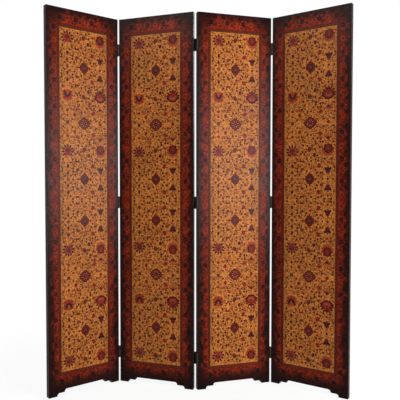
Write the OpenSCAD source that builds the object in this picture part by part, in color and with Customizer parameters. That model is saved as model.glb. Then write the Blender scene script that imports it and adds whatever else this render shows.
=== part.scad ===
// Free-standing folding screen: four hollow-core panels covered in faux leather,
// joined by two-way hinges so that each pair of panels can fold either way.
// Seen from the front, panel 1 is on the left and panel 4 on the right.
// The floor is z = 0 and the front faces -Y.

/* [Panels] */
// Width of one panel
panel_w = 380; // [320:5:600]
// Height of one panel
panel_h = 1800; // [1400:10:2200]
// Thickness of one panel, over both covers
panel_t = 25; // [20:0.5:40]

/* [Standing position] */
// Angle of panel 1, anticlockwise seen from above
angle_1 = 36.9; // [0:0.1:60]
// Angle of panel 2
angle_2 = -19.1; // [-60:0.1:0]
// Angle of panel 3
angle_3 = 15.9; // [0:0.1:60]
// Angle of panel 4
angle_4 = -35.5; // [-60:0.1:0]

/* [Timber frame] */
// Width of each upright stile
stile_w = 42; // [34:1:60]
// Height of the top rail
top_rail_h = 60; // [50:1:90]
// Height of the middle rail
mid_rail_h = 60; // [50:1:90]
// Height of the bottom rail, from the floor to its top edge
bottom_rail_h = 90; // [80:1:105]
// Radius of the dowels that join rails to stiles
dowel_r = 4; // [2.5:0.5:5]
// Distance from a rail's edge to its nearer dowel
dowel_edge = 18; // [12:1:22]
// Distance between the two dowels under a stile
stile_dowel_pitch = 20; // [14:1:22]
// Radial glue gap round a dowel
dowel_play = 0.05; // [0.02:0.01:0.2]

/* [Boards and covers] */
// Thickness of the board on each face
board_t = 2.5; // [2:0.1:5]
// Thickness of the printed covers
cover_t = 0.8; // [0.5:0.1:1.5]
// Thickness of the band round the edges
band_t = 0.8; // [0.5:0.1:1.5]
// How far covers and band stop above the floor
cover_lift = 1; // [0.5:0.1:1.5]

/* [Bracket feet] */
// Width of the flat under each foot
foot_w = 42; // [20:1:60]
// Height of the first upright step beside a foot
foot_lip = 2; // [1.6:0.1:6]
// Radius of the two hollow curves beside a foot
cove_r = 12; // [8:0.5:14]
// Length of the level ledge between the two curves
ledge_w = 26; // [10:1:40]
// Height of the small upright step before the second curve
riser_h = 1.5; // [0.5:0.1:6]

/* [Hinges] */
// Height of one hinge
hinge_h = 58; // [45:1:80]
// Centre of the end hinges, from the top or the floor
hinge_inset = 150; // [145:5:300]
// Thickness of a hinge leaf
leaf_t = 1.4; // [1:0.1:2]
// Thickness of the link plate between two leaves
link_t = 1.4; // [1:0.1:2]
// Gap between the link plate and each leaf
plate_clear = 1.05; // [0.6:0.05:2]
// How far the pins stand out of the panel faces
pin_out = 1.5; // [1:0.1:4]
// Radius of the hinge pins
pin_r = 1.5; // [1:0.1:1.8]
// Radial running gap between a pin and a leaf's knuckles
pin_play = 0.05; // [0.02:0.01:0.1]
// Gap between a barrel and the panel corners beside it
barrel_clear = 0.5; // [0.3:0.05:0.8]
// Gap between the barrels and the edges of the plates
knuckle_clear = 0.4; // [0.3:0.05:1]
// Gap between one knuckle and the next
knuckle_gap = 0.3; // [0.2:0.05:0.6]
// Radius of the round heads on the pins
pin_head_r = 2.4; // [2:0.1:2.8]
// Height of the round heads on the pins
pin_head_h = 0.8; // [0.4:0.1:2]

/* [Hinge screws] */
// Radius of the screw shanks
screw_r = 1.5; // [1:0.1:2]
// Radius of the countersunk screw heads
screw_head_r = 2.9; // [2.4:0.1:4]
// Length of a screw, head included
screw_len = 16; // [10:1:22]
// Distance from one screw to the next
screw_pitch = 19; // [14:1:22]
// Radial gap round a screw
screw_play = 0.05; // [0.02:0.01:0.2]

/* [Hidden] */
$fn = 48;
screw_tip = 3 * screw_r;
screws_per_leaf = 3;
knuckles = 5;
arc_steps = 12;

// The core lies inside the band and the covers. Its bottom rail is as thick as the core
// and as wide as the panel, and the stiles and the two boards stand on it.
core_w = panel_w - 2 * band_t;
core_h = panel_h - band_t;
core_t = panel_t - 2 * cover_t;
frame_t = core_t - 2 * board_t;
rail_w = core_w - 2 * stile_w;
dowel_len = stile_w;

// Leaf, link and leaf lie side by side in the gap between two panels in line.
panel_gap = 2 * leaf_t + link_t + 2 * plate_clear;
pin_y = panel_t / 2 + pin_out;
barrel_r = norm([panel_gap / 2, pin_out]) - barrel_clear;
plate_half = pin_y - barrel_r - knuckle_clear;
knuckle_pitch = hinge_h / knuckles;
hinge_heights = [hinge_inset, panel_h / 2, panel_h - hinge_inset];

angles = [angle_1, angle_2, angle_3, angle_4];
panel_count = len(angles);
joint_names = ["12", "23", "34"];

// A pose is [x, y, turn about Z], and join() puts pose b in the frame of pose a.
function join(a, b) = [
    a.x + b.x * cos(a.z) - b.y * sin(a.z),
    a.y + b.x * sin(a.z) + b.y * cos(a.z),
    a.z + b.z
];
function turn_about(pin, turn) = join([pin.x, pin.y, turn], [-pin.x, -pin.y, 0]);

// Each joint folds on its front pin when the front faces come together,
// and on its back pin when the back faces do.
front_pin = [0, -pin_y, 0];
back_pin = [0, pin_y, 0];
half_step = [(panel_w + panel_gap) / 2, 0, 0];
function fold(k) = angles[k] - angles[k + 1];
function link_pose(k) =
    join(join(panel_pose(k), half_step), turn_about(back_pin, max(0, -fold(k))));
function panel_pose(k) = k == 0
    ? [0, 0, angles[0]]
    : join(join(link_pose(k - 1), turn_about(front_pin, -max(0, fold(k - 1)))), half_step);

panel_poses = [for (k = [0 : panel_count - 1]) panel_pose(k)];
link_poses = [for (k = [0 : panel_count - 2]) link_pose(k)];

// The origin is the middle of the whole screen's outline on the floor.
corners = [
    for (pose = panel_poses, side_x = [-1, 1], side_y = [-1, 1])
        join(pose, [side_x * panel_w / 2, side_y * panel_t / 2, 0])
];
barrels = [for (pose = link_poses, pin = [front_pin, back_pin]) join(pose, pin)];
reach_x = concat([for (c = corners) c.x], [for (b = barrels, s = [-1, 1]) b.x + s * barrel_r]);
reach_y = concat([for (c = corners) c.y], [for (b = barrels, s = [-1, 1]) b.y + s * barrel_r]);
middle = [(min(reach_x) + max(reach_x)) / 2, (min(reach_y) + max(reach_y)) / 2, 0];

module place(pose) {
    translate([pose.x, pose.y, 0] - middle)
        rotate([0, 0, pose.z])
            children();
}

// The shaped lower edge between the two feet of a panel, from left to right.
function arc(centre, radius, from, to) = [
    for (i = [0 : arc_steps])
        let (a = from + (to - from) * i / arc_steps)
            centre + radius * [cos(a), sin(a)]
];
function foot_curve() = let (
    foot_x = foot_w - core_w / 2,
    ledge_z = foot_lip + cove_r
) concat(
    arc([foot_x + cove_r, foot_lip], cove_r, 180, 90),
    [[foot_x + cove_r + ledge_w, ledge_z]],
    arc([foot_x + 2 * cove_r + ledge_w, ledge_z + riser_h], cove_r, 180, 90)
);
function mirrored(points) = [
    for (i = [len(points) - 1 : -1 : 0]) [-points[i].x, points[i].y]
];
function lower_edge() = concat(foot_curve(), mirrored(foot_curve()));

module upright(thickness) {
    rotate([90, 0, 0])
        linear_extrude(height = thickness, center = true)
            children();
}

module footed_sheet(width, bottom, top, thickness) {
    upright(thickness)
        polygon(concat(
            [[-width / 2, top], [-width / 2, bottom], [foot_w - core_w / 2, bottom]],
            lower_edge(),
            [[core_w / 2 - foot_w, bottom], [width / 2, bottom], [width / 2, top]]
        ));
}

// Dowels lie half in each of two pieces: two at each end of the middle and top rails,
// and two under each stile.
mid_span = [(panel_h - mid_rail_h) / 2, (panel_h + mid_rail_h) / 2];
top_span = [core_h - top_rail_h, core_h];

module dowel(extra) {
    cylinder(r = dowel_r + extra, h = dowel_len + 2 * extra, center = true);
}

module dowel_rods(extra) {
    for (span = [mid_span, top_span], z = [span[0] + dowel_edge, span[1] - dowel_edge], side = [-1, 1])
        translate([side * rail_w / 2, 0, z])
            rotate([0, 90, 0])
                dowel(extra);
    for (side = [-1, 1], step = [-1, 1])
        translate([side * (rail_w + stile_w) / 2 + step * stile_dowel_pitch / 2, 0, bottom_rail_h])
            dowel(extra);
}

// Screws go into a panel edge from the hinge side: side is -1 for the left edge and
// 1 for the right edge, and a panel at the end of the screen has hinges on one edge only.
function hinged_sides(n) = [
    for (side = [-1, 1])
        if ((side == -1 && n > 1) || (side == 1 && n < panel_count)) side
];

module screw(extra) {
    shank = screw_len - screw_tip;
    cylinder(r1 = screw_head_r + extra, r2 = screw_r + extra, h = leaf_t);
    cylinder(r = screw_r + extra, h = shank);
    translate([0, 0, shank])
        cylinder(r1 = screw_r + extra, r2 = screw_r / 4 + extra, h = screw_tip + extra);
}

module edge_screws(side, extra) {
    for (z = hinge_heights, i = [0 : screws_per_leaf - 1])
        translate([
            side * (panel_w / 2 + leaf_t),
            0,
            z + (i - (screws_per_leaf - 1) / 2) * screw_pitch
        ])
            rotate([0, -side * 90, 0])
                screw(extra);
}

module panel_screws(n, extra) {
    for (side = hinged_sides(n))
        edge_screws(side, extra);
}

// Timber frame of a panel
module stile(n, side) {
    color("burlywood")
        place(panel_poses[n - 1])
            difference() {
                translate([side * (rail_w + stile_w) / 2, 0, (bottom_rail_h + core_h) / 2])
                    cube([stile_w, frame_t, core_h - bottom_rail_h], center = true);
                dowel_rods(dowel_play);
                panel_screws(n, screw_play);
            }
}

module left_stile(n) {
    stile(n, -1);
}

module right_stile(n) {
    stile(n, 1);
}

module plain_rail(n, span) {
    color("burlywood")
        place(panel_poses[n - 1])
            difference() {
                translate([-rail_w / 2, -frame_t / 2, span[0]])
                    cube([rail_w, frame_t, span[1] - span[0]]);
                dowel_rods(dowel_play);
            }
}

module top_rail(n) {
    plain_rail(n, top_span);
}

module mid_rail(n) {
    plain_rail(n, mid_span);
}

module bottom_rail(n) {
    color("burlywood")
        place(panel_poses[n - 1])
            difference() {
                footed_sheet(core_w, 0, bottom_rail_h, core_t);
                dowel_rods(dowel_play);
            }
}

module frame_dowels(n) {
    color("wheat")
        place(panel_poses[n - 1])
            dowel_rods(0);
}

// Boards, covers and edge band of a panel: side is -1 for the front and 1 for the back.
module board(n, side) {
    color("peru")
        place(panel_poses[n - 1])
            translate([0, side * (core_t - board_t) / 2, (bottom_rail_h + core_h) / 2])
                cube([core_w, board_t, core_h - bottom_rail_h], center = true);
}

module front_board(n) {
    board(n, -1);
}

module back_board(n) {
    board(n, 1);
}

module cover(n, side) {
    color([0.62, 0.36, 0.15])
        place(panel_poses[n - 1])
            translate([0, side * (panel_t - cover_t) / 2, 0])
                footed_sheet(panel_w, cover_lift, panel_h, cover_t);
}

module front_cover(n) {
    cover(n, -1);
}

module back_cover(n) {
    cover(n, 1);
}

module edge_band(n) {
    color([0.06, 0.04, 0.03])
        place(panel_poses[n - 1])
            difference() {
                upright(core_t)
                    polygon([
                        [-panel_w / 2, cover_lift],
                        [-core_w / 2, cover_lift],
                        [-core_w / 2, core_h],
                        [core_w / 2, core_h],
                        [core_w / 2, cover_lift],
                        [panel_w / 2, cover_lift],
                        [panel_w / 2, panel_h],
                        [-panel_w / 2, panel_h]
                    ]);
                panel_screws(n, screw_play);
            }
}

module hinge_screws(n) {
    color([0.09, 0.09, 0.09])
        place(panel_poses[n - 1])
            panel_screws(n, 0);
}

// Hinge pieces, drawn about the middle of the gap between two panels in line.
// Knuckles count from the bottom: even ones are on a leaf and odd ones on the link.
module knuckle_row(first, bore_r, tab_from, tab_to) {
    for (i = [first : 2 : knuckles - 1])
        translate([0, 0, (i - (knuckles - 1) / 2) * knuckle_pitch])
            difference() {
                union() {
                    cylinder(r = barrel_r, h = knuckle_pitch - knuckle_gap, center = true);
                    translate([tab_from, -(pin_y - plate_half), -(knuckle_pitch - knuckle_gap) / 2])
                        cube([tab_to - tab_from, pin_y - plate_half, knuckle_pitch - knuckle_gap]);
                }
                cylinder(r = bore_r, h = knuckle_pitch, center = true);
            }
}

// The left leaf carries the back barrel. The right leaf is the same piece turned round.
module leaf_shape() {
    outer = -panel_gap / 2;
    plate_h = hinge_h - knuckle_gap;
    difference() {
        translate([outer, -plate_half, -plate_h / 2])
            cube([leaf_t, 2 * plate_half, plate_h]);
        for (i = [0 : screws_per_leaf - 1])
            translate([outer + leaf_t, 0, (i - (screws_per_leaf - 1) / 2) * screw_pitch])
                rotate([0, -90, 0])
                    screw(screw_play);
    }
    translate([0, pin_y, 0])
        knuckle_row(0, pin_r + pin_play, outer, outer + leaf_t);
}

module hinge_stack(joint) {
    color([0.05, 0.05, 0.05])
        place(link_poses[joint])
            for (z = hinge_heights)
                translate([0, 0, z])
                    children();
}

// A leaf keeps to its own panel, so it turns with that panel about its pin.
module left_hinge_leaves(joint) {
    hinge_stack(joint)
        leaf_on(back_pin, -max(0, -fold(joint)))
            leaf_shape();
}

module right_hinge_leaves(joint) {
    hinge_stack(joint)
        leaf_on(front_pin, -max(0, fold(joint)))
            rotate([0, 0, 180])
                leaf_shape();
}

module leaf_on(pin, turn) {
    translate(pin)
        rotate([0, 0, turn])
            translate(-pin)
                children();
}

module hinge_links(joint) {
    hinge_stack(joint) {
        plate_h = hinge_h - knuckle_gap;
        cube([link_t, 2 * plate_half, plate_h], center = true);
        for (turn = [0, 180])
            rotate([0, 0, turn])
                translate([0, pin_y, 0])
                    knuckle_row(1, pin_r, -link_t / 2, link_t / 2);
    }
}

module hinge_pins(joint) {
    hinge_stack(joint)
        for (pin = [front_pin, back_pin])
            translate(pin) {
                cylinder(r = pin_r, h = hinge_h, center = true);
                for (end = [-1, 1])
                    translate([0, 0, end * (hinge_h + pin_head_h) / 2])
                        cylinder(r = pin_head_r, h = pin_head_h, center = true);
            }
}

panel_pieces = [
    "left_stile", "right_stile", "top_rail", "mid_rail", "bottom_rail", "frame_dowels",
    "front_board", "back_board", "front_cover", "back_cover", "edge_band", "hinge_screws"
];
hinge_pieces = ["left_hinge_leaves", "right_hinge_leaves", "hinge_links", "hinge_pins"];

for (n = [1 : panel_count]) {
    left_stile(n);
    right_stile(n);
    top_rail(n);
    mid_rail(n);
    bottom_rail(n);
    frame_dowels(n);
    front_board(n);
    back_board(n);
    front_cover(n);
    back_cover(n);
    edge_band(n);
    hinge_screws(n);
}
for (joint = [0 : panel_count - 2]) {
    name = joint_names[joint];
    left_hinge_leaves(joint);
    right_hinge_leaves(joint);
    hinge_links(joint);
    hinge_pins(joint);
}
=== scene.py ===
# Folding screen of four printed leatherette panels on two-way hinges
import bpy
import bmesh
import math
import random
from mathutils import Matrix, Vector
from mathutils.geometry import delaunay_2d_cdt


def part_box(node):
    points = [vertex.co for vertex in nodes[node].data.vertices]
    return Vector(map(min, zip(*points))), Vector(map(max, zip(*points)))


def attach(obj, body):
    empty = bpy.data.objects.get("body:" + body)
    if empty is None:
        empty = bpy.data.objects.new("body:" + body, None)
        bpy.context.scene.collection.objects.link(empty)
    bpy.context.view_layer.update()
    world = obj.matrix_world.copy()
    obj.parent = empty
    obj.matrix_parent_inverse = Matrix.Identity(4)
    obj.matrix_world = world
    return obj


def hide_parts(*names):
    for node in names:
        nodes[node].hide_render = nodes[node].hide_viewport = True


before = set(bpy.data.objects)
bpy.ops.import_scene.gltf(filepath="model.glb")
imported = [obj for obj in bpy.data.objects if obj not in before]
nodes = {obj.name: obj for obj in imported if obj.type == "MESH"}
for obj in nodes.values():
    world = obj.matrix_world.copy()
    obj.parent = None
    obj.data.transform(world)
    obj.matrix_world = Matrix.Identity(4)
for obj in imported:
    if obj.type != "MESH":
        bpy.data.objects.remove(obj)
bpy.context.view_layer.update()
numbers = (1, 2, 3, 4)  # panels, left to right
joints = (12, 23, 34)
hair = 1e-5  # metres, closer than this is the same place
print("frame loaded")


# Where each panel stands
def panelPose(number):
    # the eight top corners of the two covers give the middle and the heading
    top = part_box(f"front_cover_{number}")[1].z
    corners = set()
    for side in ("front", "back"):
        for vertex in nodes[f"{side}_cover_{number}"].data.vertices:
            if vertex.co.z > top - hair:
                corners.add((round(vertex.co.x, 6), round(vertex.co.y, 6)))
    ends = sorted(corners)
    half = len(ends) // 2
    left = sum((Vector(p) for p in ends[:half]), Vector((0, 0))) / half
    right = sum((Vector(p) for p in ends[half:]), Vector((0, 0))) / half
    middle = (left + right) / 2
    heading = math.atan2(right.y - left.y, right.x - left.x)
    turned = Matrix.Rotation(heading, 4, "Z")
    return Matrix.Translation((middle.x, middle.y, 0)) @ turned, (right - left).length, heading


poses = {n: panelPose(n) for n in numbers}
mm = 1000  # page sizes are millimetres, from the top left corner of a panel's face
pageWidth = poses[1][1] * mm
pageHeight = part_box("front_cover_1")[1].z * mm
panelDepth = {
    side: [(poses[1][0].inverted() @ v.co).y for v in nodes[f"{side}_cover_1"].data.vertices]
    for side in ("front", "back")
}
coverFace = -min(panelDepth["front"])  # middle of the panel to the printed face
coverBack = -max(panelDepth["front"])  # and to the side that is glued down


def pageOutline():
    # rim of the printed side, followed round the front cover's own triangles
    toPanel = poses[1][0].inverted()
    mesh = nodes["front_cover_1"].data
    local = [toPanel @ v.co for v in mesh.vertices]
    edges = set()
    for polygon in mesh.polygons:
        ring = [local[i] for i in polygon.vertices]
        if all(p.y < -coverFace + hair for p in ring):
            flat = [(round(p.x * mm + pageWidth / 2, 3), round(pageHeight - p.z * mm, 3)) for p in ring]
            edges |= set(zip(flat, flat[1:] + flat[:1]))
    follow = {a: b for a, b in edges if (b, a) not in edges}
    rim = [min(follow)]
    while follow[rim[-1]] != rim[0]:
        rim.append(follow[rim[-1]])
    return rim


def area(points):
    pairs = zip(points, points[1:] + points[:1])
    return sum(a[0] * b[1] - b[0] * a[1] for a, b in pairs) / 2


def leftHanded(points):
    return points if area(points) > 0 else points[::-1]


def inset(points, distance):
    # each corner moves in along its two edges' normals
    moved = []
    for before, here, after in zip(points[-1:] + points[:-1], points, points[1:] + points[:1]):
        a = (Vector(here) - Vector(before)).normalized()
        b = (Vector(after) - Vector(here)).normalized()
        inward = Vector((-a.y - b.y, a.x + b.x)) / (1 + a.dot(b))
        moved.append(tuple(Vector(here) + inward * distance))
    return moved


# Inks of the print, as they look on paper
inks = {
    "ground": (172, 103, 42),
    "pale": (204, 146, 96),
    "vine": (102, 52, 20),
    "olive": (64, 38, 14),
    "brown": (60, 22, 9),
    "wine": (60, 11, 8),
    "red": (104, 20, 13),
    "orange": (136, 56, 26),
    "brick": (116, 38, 22),
    "rose": (138, 68, 44),
    "mauve": (92, 38, 33),
    "plum": (46, 13, 14),
    "slate": (46, 30, 26),
    "smoke": (98, 72, 58),
    "border": (112, 26, 9),
    "borderLight": (148, 50, 19),
    "borderDark": (54, 11, 5),
    "navy": (26, 13, 14),
    "guard": (76, 26, 13),
    "guardLight": (126, 72, 38),
}


# Outlines to stamp, in page millimetres, pointing up the page
def oval(rx, ry, at=(0, 0), count=9):
    turns = [2 * math.pi * k / count for k in range(count)]
    return [(at[0] + rx * math.cos(t), at[1] + ry * math.sin(t)) for t in turns]


def petal(length, width, root=0, count=3):
    # widest past the middle, pointed at both ends
    side = [math.sin(math.pi * (k / (count + 1)) ** 0.8) * width / 2 for k in range(1, count + 1)]
    rise = [-root - length * k / (count + 1) for k in range(1, count + 1)]
    right = list(zip(side, rise))
    left = [(-x, y) for x, y in reversed(right)]
    return [(0, -root), *right, (0, -root - length), *left]


def lobed(rx, ry, lobes, depth, square=2.0, steps=3):
    # round at square 2, a diamond near 1.2, with scallops along its rim
    points = []
    for k in range(lobes * steps):
        t = 2 * math.pi * k / (lobes * steps)
        c, s = math.cos(t), math.sin(t)
        reach = (abs(c) ** square + abs(s) ** square) ** (-1 / square)
        reach *= 1 - depth * (1 - abs(math.cos(t * lobes / 2)))
        points.append((rx * reach * c, ry * reach * s))
    return points


def horseshoe(rx, ry, wall, gap=42, steps=9):
    # a ring left open at the top of the page
    turns = [math.radians(-90 + gap + (360 - 2 * gap) * k / steps) for k in range(steps + 1)]
    outer = [(rx * math.cos(t), ry * math.sin(t)) for t in turns]
    inner = [((rx - wall) * math.cos(t), (ry - wall) * math.sin(t)) for t in turns]
    return outer + inner[::-1]


def halved(points):
    # the right half given, the left one mirrored
    return [*points, *[(-x, y) for x, y in reversed(points) if abs(x) > 0.01]]


def smooth(points, steps=3):
    # a curve through given points
    line = []
    ends = [points[0], *points, points[-1]]
    for a, b, c, d in zip(ends, ends[1:], ends[2:], ends[3:]):
        for k in range(steps):
            t = k / steps
            line.append(tuple(
                0.5 * (2 * q + (r - p) * t + (2 * p - 5 * q + 4 * r - s) * t * t
                       + (3 * q - p - 3 * r + s) * t ** 3)
                for p, q, r, s in zip(a, b, c, d)))
    return [*line, points[-1]]


def strip(line, width):
    # a stroke that thins to its ends
    near, far = [], []
    for k, here in enumerate(line):
        a, b = line[max(k - 1, 0)], line[min(k + 1, len(line) - 1)]
        along = (Vector(b) - Vector(a)).normalized()
        half = width / 2 * (0.4 + 0.6 * math.sin(math.pi * k / (len(line) - 1)))
        near.append((here[0] - along.y * half, here[1] + along.x * half))
        far.append((here[0] + along.y * half, here[1] - along.x * half))
    return near + far[::-1]


def placed(shapes, at, turn=0, size=1):
    c = math.cos(math.radians(turn)) * size
    s = math.sin(math.radians(turn)) * size
    return [
        (layer, ink, [(at[0] + c * x - s * y, at[1] + s * x + c * y) for x, y in points])
        for layer, ink, points in shapes
    ]


def mirrored(shapes, across=None, down=None):
    # turned over about an upright line, a level line or both
    return [
        (layer, ink, [(x if across is None else 2 * across - x, y if down is None else 2 * down - y)
                      for x, y in points])
        for layer, ink, points in shapes
    ]


def fan(layer, ink, count, spread, length, width, root, middle=0):
    # petals side by side over an angle
    leaf = [(layer, ink, petal(length, width, root, 3 if length > 9 else 2))]
    turns = [middle + spread * (k / (count - 1) - 0.5) for k in range(count)]
    return [shape for turn in turns for shape in placed(leaf, (0, 0), turn)]


def bothSides(shapes, at, turn):
    # once to the left and once to the right, turned opposite ways
    return placed(shapes, (-at[0], at[1]), -turn) + placed(shapes, at, turn)


# Flowers of the field, each a list of shapes: layer, ink and outline
def floret(petals, radius, ink, eye="pale"):
    # small ones are one scalloped outline, larger ones have separate petals
    heart = (8, eye, oval(radius * 0.26, radius * 0.26, count=5))
    if radius < 7:
        return [(7, ink, lobed(radius, radius, petals, 0.45)), heart]
    return [*fan(7, ink, petals, 360 - 360 / petals, radius, radius * 0.95, 0), heart]


def bud(ink, cup, length=9):
    return [
        (7, cup, petal(length * 0.8, length * 0.5)),
        *bothSides([(7, cup, petal(length * 0.6, length * 0.3))], (0, 0), 42),
        (8, ink, petal(length, length * 0.42, length * 0.15)),
    ]


fanPalmette = [
    (4, "vine", strip([(0, 20), (0.6, 28), (0, 38)], 2.2)),
    (5, "rose", lobed(21, 20, 11, 0.14)),
    *fan(6, "plum", 9, 264, 15, 7.6, 14),
    *fan(7, "rose", 8, 228, 13, 4.2, 9),
    (8, "brick", lobed(13.5, 14.5, 9, 0.18)),
    *fan(9, "wine", 7, 200, 9, 3, 4),
    *bothSides([(7, "brick", petal(17, 9))], (3, 8), 152),
    (9, "mauve", petal(13, 8, -16)),
    (10, "wine", lobed(4.4, 4.4, 6, 0.2)),
    (11, "orange", oval(1.7, 1.7, count=6)),
]

ringPalmette = [
    *fan(5, "orange", 7, 216, 20, 13, 9, 180),
    *fan(6, "brick", 6, 190, 11, 5, 14, 180),
    *fan(5, "brick", 5, 140, 10, 8, 19),
    *placed([
        (7, "red", lobed(19, 21, 11, 0.12)),
        (8, "wine", horseshoe(17.5, 19.5, 5.4, 20)),
        (8, "brick", lobed(12.4, 14.4, 9, 0.1)),
        (9, "slate", horseshoe(9.8, 12, 3.8, 22)),
        (9, "red", petal(16, 8, -8)),
        (10, "rose", petal(8, 2.8, -4)),
        *fan(8, "wine", 3, 80, 8, 4.4, 16),
    ], (0, -7)),
    *bothSides([(5, "pale", petal(13, 6)), (6, "brick", petal(10, 3.8, 1.5))], (6, 21), 124),
    (4, "vine", strip([(0, 24), (-0.8, 34), (0, 44)], 2)),
]

cupPalmette = [
    (5, "orange", lobed(28, 27, 12, 0.14, 3)),
    *fan(6, "brick", 5, 200, 21, 13, 6, 180),
    *fan(7, "red", 3, 110, 8, 5, 19, 180),
    *bothSides([(6, "red", petal(20, 9))], (7, -13), 74),
    *fan(6, "brick", 3, 60, 10, 5, 16),
    (8, "wine", [(-16.5, -17), (-15.5, -3), (-9.5, 7), (0, 10.5), (9.5, 7), (15.5, -3), (16.5, -17),
                 (11, -16), (7.5, -9), (0, -6.5), (-7.5, -9), (-11, -16)]),
    (9, "slate", oval(9, 8.4, (0, -3))),
    (10, "smoke", oval(4, 4, (0, -5))),
    (11, "pale", oval(1.6, 1.6, (0, -6), 7)),
    (4, "vine", strip([(0, -40), (0.8, -30), (0, -18)], 2)),
]

lobedPalmette = [  # a fruit on its flat side, with a crown and two tips
    (4, "vine", strip([(0, 24), (0.8, 36), (0, 48)], 2)),
    *placed(fan(5, "wine", 9, 222, 18, 11.5, 17.5), (0, -2)),
    *placed(fan(6, "red", 9, 222, 14, 7, 16.5), (0, -2)),
    (5, "wine", petal(22, 15, 13)),
    (5, "wine", [(-26, 4), (-25, 16), (-18, 18), (-17, 25), (-9, 24), (0, 28), (9, 24), (17, 25),
                 (18, 18), (25, 16), (26, 4), (20, -16), (-20, -16)]),
    (7, "red", lobed(23, 20, 11, 0.1)),
    *bothSides([(6, "wine", petal(18, 11))], (17, 4), 96),
    (8, "wine", petal(17, 11, 17)),
    (9, "red", petal(10, 4, 20)),
    *fan(8, "plum", 7, 210, 5, 4, 16),
    (8, "brick", halved([(0, -13), (9, -11), (17.5, -2), (19, 8), (13, 16), (0, 17)])),
    (9, "rose", halved([(0, -5), (8, -4), (13.5, 2), (11, 11), (0, 12.5)])),
    *fan(10, "red", 7, 230, 9, 4, 1.4),
    (11, "brown", oval(1.7, 1.7, (0, 0), 5)),
]

diamondRosette = [
    *[shape for way in (-1, 1) for shape in (
        (5, "brown", strip([(way * 20, 0), (way * 33, 0.8), (way * 46, 0)], 2.6)),
        (6, "wine", oval(3.8, 3, (way * 33, 0), 7)),
        (6, "brown", oval(2.8, 2.4, (way * 43, 0), 6)),
    )],
    *placed(fan(6, "wine", 2, 180, 12, 8, 25, 90), (0, 0), 90),
    (6, "wine", lobed(27, 32, 12, 0.24, 1.35)),
    (7, "red", lobed(21.5, 26, 12, 0.24, 1.35)),
    (8, "wine", lobed(15, 16, 12, 0.16, 1.6)),
    (9, "slate", oval(10.5, 12, count=12)),
    *fan(10, "smoke", 8, 315, 5.4, 2.6, 3),
    (11, "mauve", oval(3.4, 3.4, count=8)),
    (12, "slate", oval(1.5, 1.5, count=6)),
]

starRosette = [
    *[(5, "orange", strip([(way * 28, 0), (way * 36, 0.6), (way * 45, 0)], 1.6)) for way in (-1, 1)],
    (6, "wine", lobed(37.5, 35, 14, 0.34, 1.36)),
    (7, "red", lobed(31, 29, 14, 0.3, 1.4)),
    (8, "mauve", lobed(22, 21, 16, 0.16, 1.8)),
    (9, "wine", oval(17.5, 17, count=14)),
    *fan(10, "brick", 8, 315, 9, 4.8, 5),
    *fan(11, "pale", 8, 315, 6.2, 3.2, 10.5),
    (11, "brown", oval(5.6, 5.6, count=9)),
    *fan(12, "vine", 6, 300, 3.4, 1.8, 1),
    (13, "pale", oval(1.2, 1.2, count=5)),
]

skirtedPalmette = [
    *placed([(5, "plum", lobed(11.5, 13, 9, 0.16))], (0, -4)),
    (6, "mauve", halved([(0, -18), (6, -16), (9, -10), (11.5, -2), (16.5, 5), (16, 11), (11.5, 6.5),
                         (11, 14.5), (6.5, 8.5), (4, 16), (0, 9)])),
    (7, "plum", halved([(0, -12), (5, -8), (8.5, 3), (4, 5), (0, 8)])),
    (8, "brick", petal(9, 4, -2)),
    *bothSides([(8, "navy", petal(15, 8.5))], (5.5, 1), 138),
    (8, "wine", oval(5, 4, (0, 9), 8)),
    (9, "rose", oval(1.8, 1.4, (0, 9), 5)),
]

spirePalmette = [
    (5, "vine", strip([(0, -24), (0.4, -14), (0, -4)], 2.2)),
    (6, "mauve", petal(22, 8, -6)),
    (7, "mauve", halved([(0, -9), (6.5, -5), (12.5, 1), (11, 6.5), (7, 4), (5, 10.5), (0, 6)])),
    (8, "plum", halved([(0, -5), (7, 4), (0, 1.8)])),
    *bothSides([(6, "plum", petal(11, 4.6))], (9, 4), 115),
    (6, "orange", lobed(11, 9, 8, 0.18)),
    *fan(5, "orange", 5, 130, 16, 6.4, 8, 180),
]

tulip = [
    (6, "brick", lobed(10, 12.5, 7, 0.16, 1.5)),
    (7, "red", petal(20, 10, -8)),
    *bothSides([(7, "red", petal(14, 6))], (1, 7), 38),
    (8, "mauve", petal(10, 4.6, -3)),
    (8, "wine", oval(3.6, 2.6, (0, 7), 7)),
]

darkOval = [
    (6, "wine", oval(7.2, 9.8, count=11)),
    (7, "plum", oval(5.4, 7.8, count=10)),
    (8, "mauve", petal(9, 3, -4.5)),
]


def spikyLeaf(ink="red", heart="brick"):
    return [
        *fan(6, ink, 7, 230, 12, 5.6, 2),
        (7, ink, lobed(8.5, 6.6, 7, 0.14)),
        (8, heart, petal(12, 4.4, -5)),
        (5, "vine", strip([(0, 4), (1.2, 10), (3.4, 16)], 1.4)),
    ]


def splitLeaf(upper="slate", lower="red"):
    # one half of the leaf in each colour, on a curled stalk
    return [
        (5, "vine", strip([(0, 8), (1.6, 14), (5, 18)], 1.4)),
        (6, lower, lobed(8.8, 11.2, 9, 0.12)),
        (7, upper, [(-8.2, 0), (-7.2, -6.5), (0, -13), (8, -7.5), (9.2, -1), (4.5, 1.6), (0, -1.2),
                    (-4.6, 2.4)]),
        (8, "smoke" if upper == "slate" else "mauve", petal(8, 3, 2)),
        (8, "brick" if lower == "red" else "smoke", oval(2.8, 2.1, (0, 5), 6)),
    ]


def curvedLeaf(ink, length, width):
    # a sickle leaf with a paler rib
    near = [(math.sin(math.pi * k / 5) * width * 0.75, -length * k / 5) for k in range(6)]
    far = [(math.sin(math.pi * k / 5) * width * -0.2, -length * k / 5) for k in range(4, 0, -1)]
    rib = strip([(0.4, -2), (1.6, -length / 2), (0.4, 2 - length)], 1)
    return [(6, ink, near + far), (7, "brick", rib)]


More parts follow.
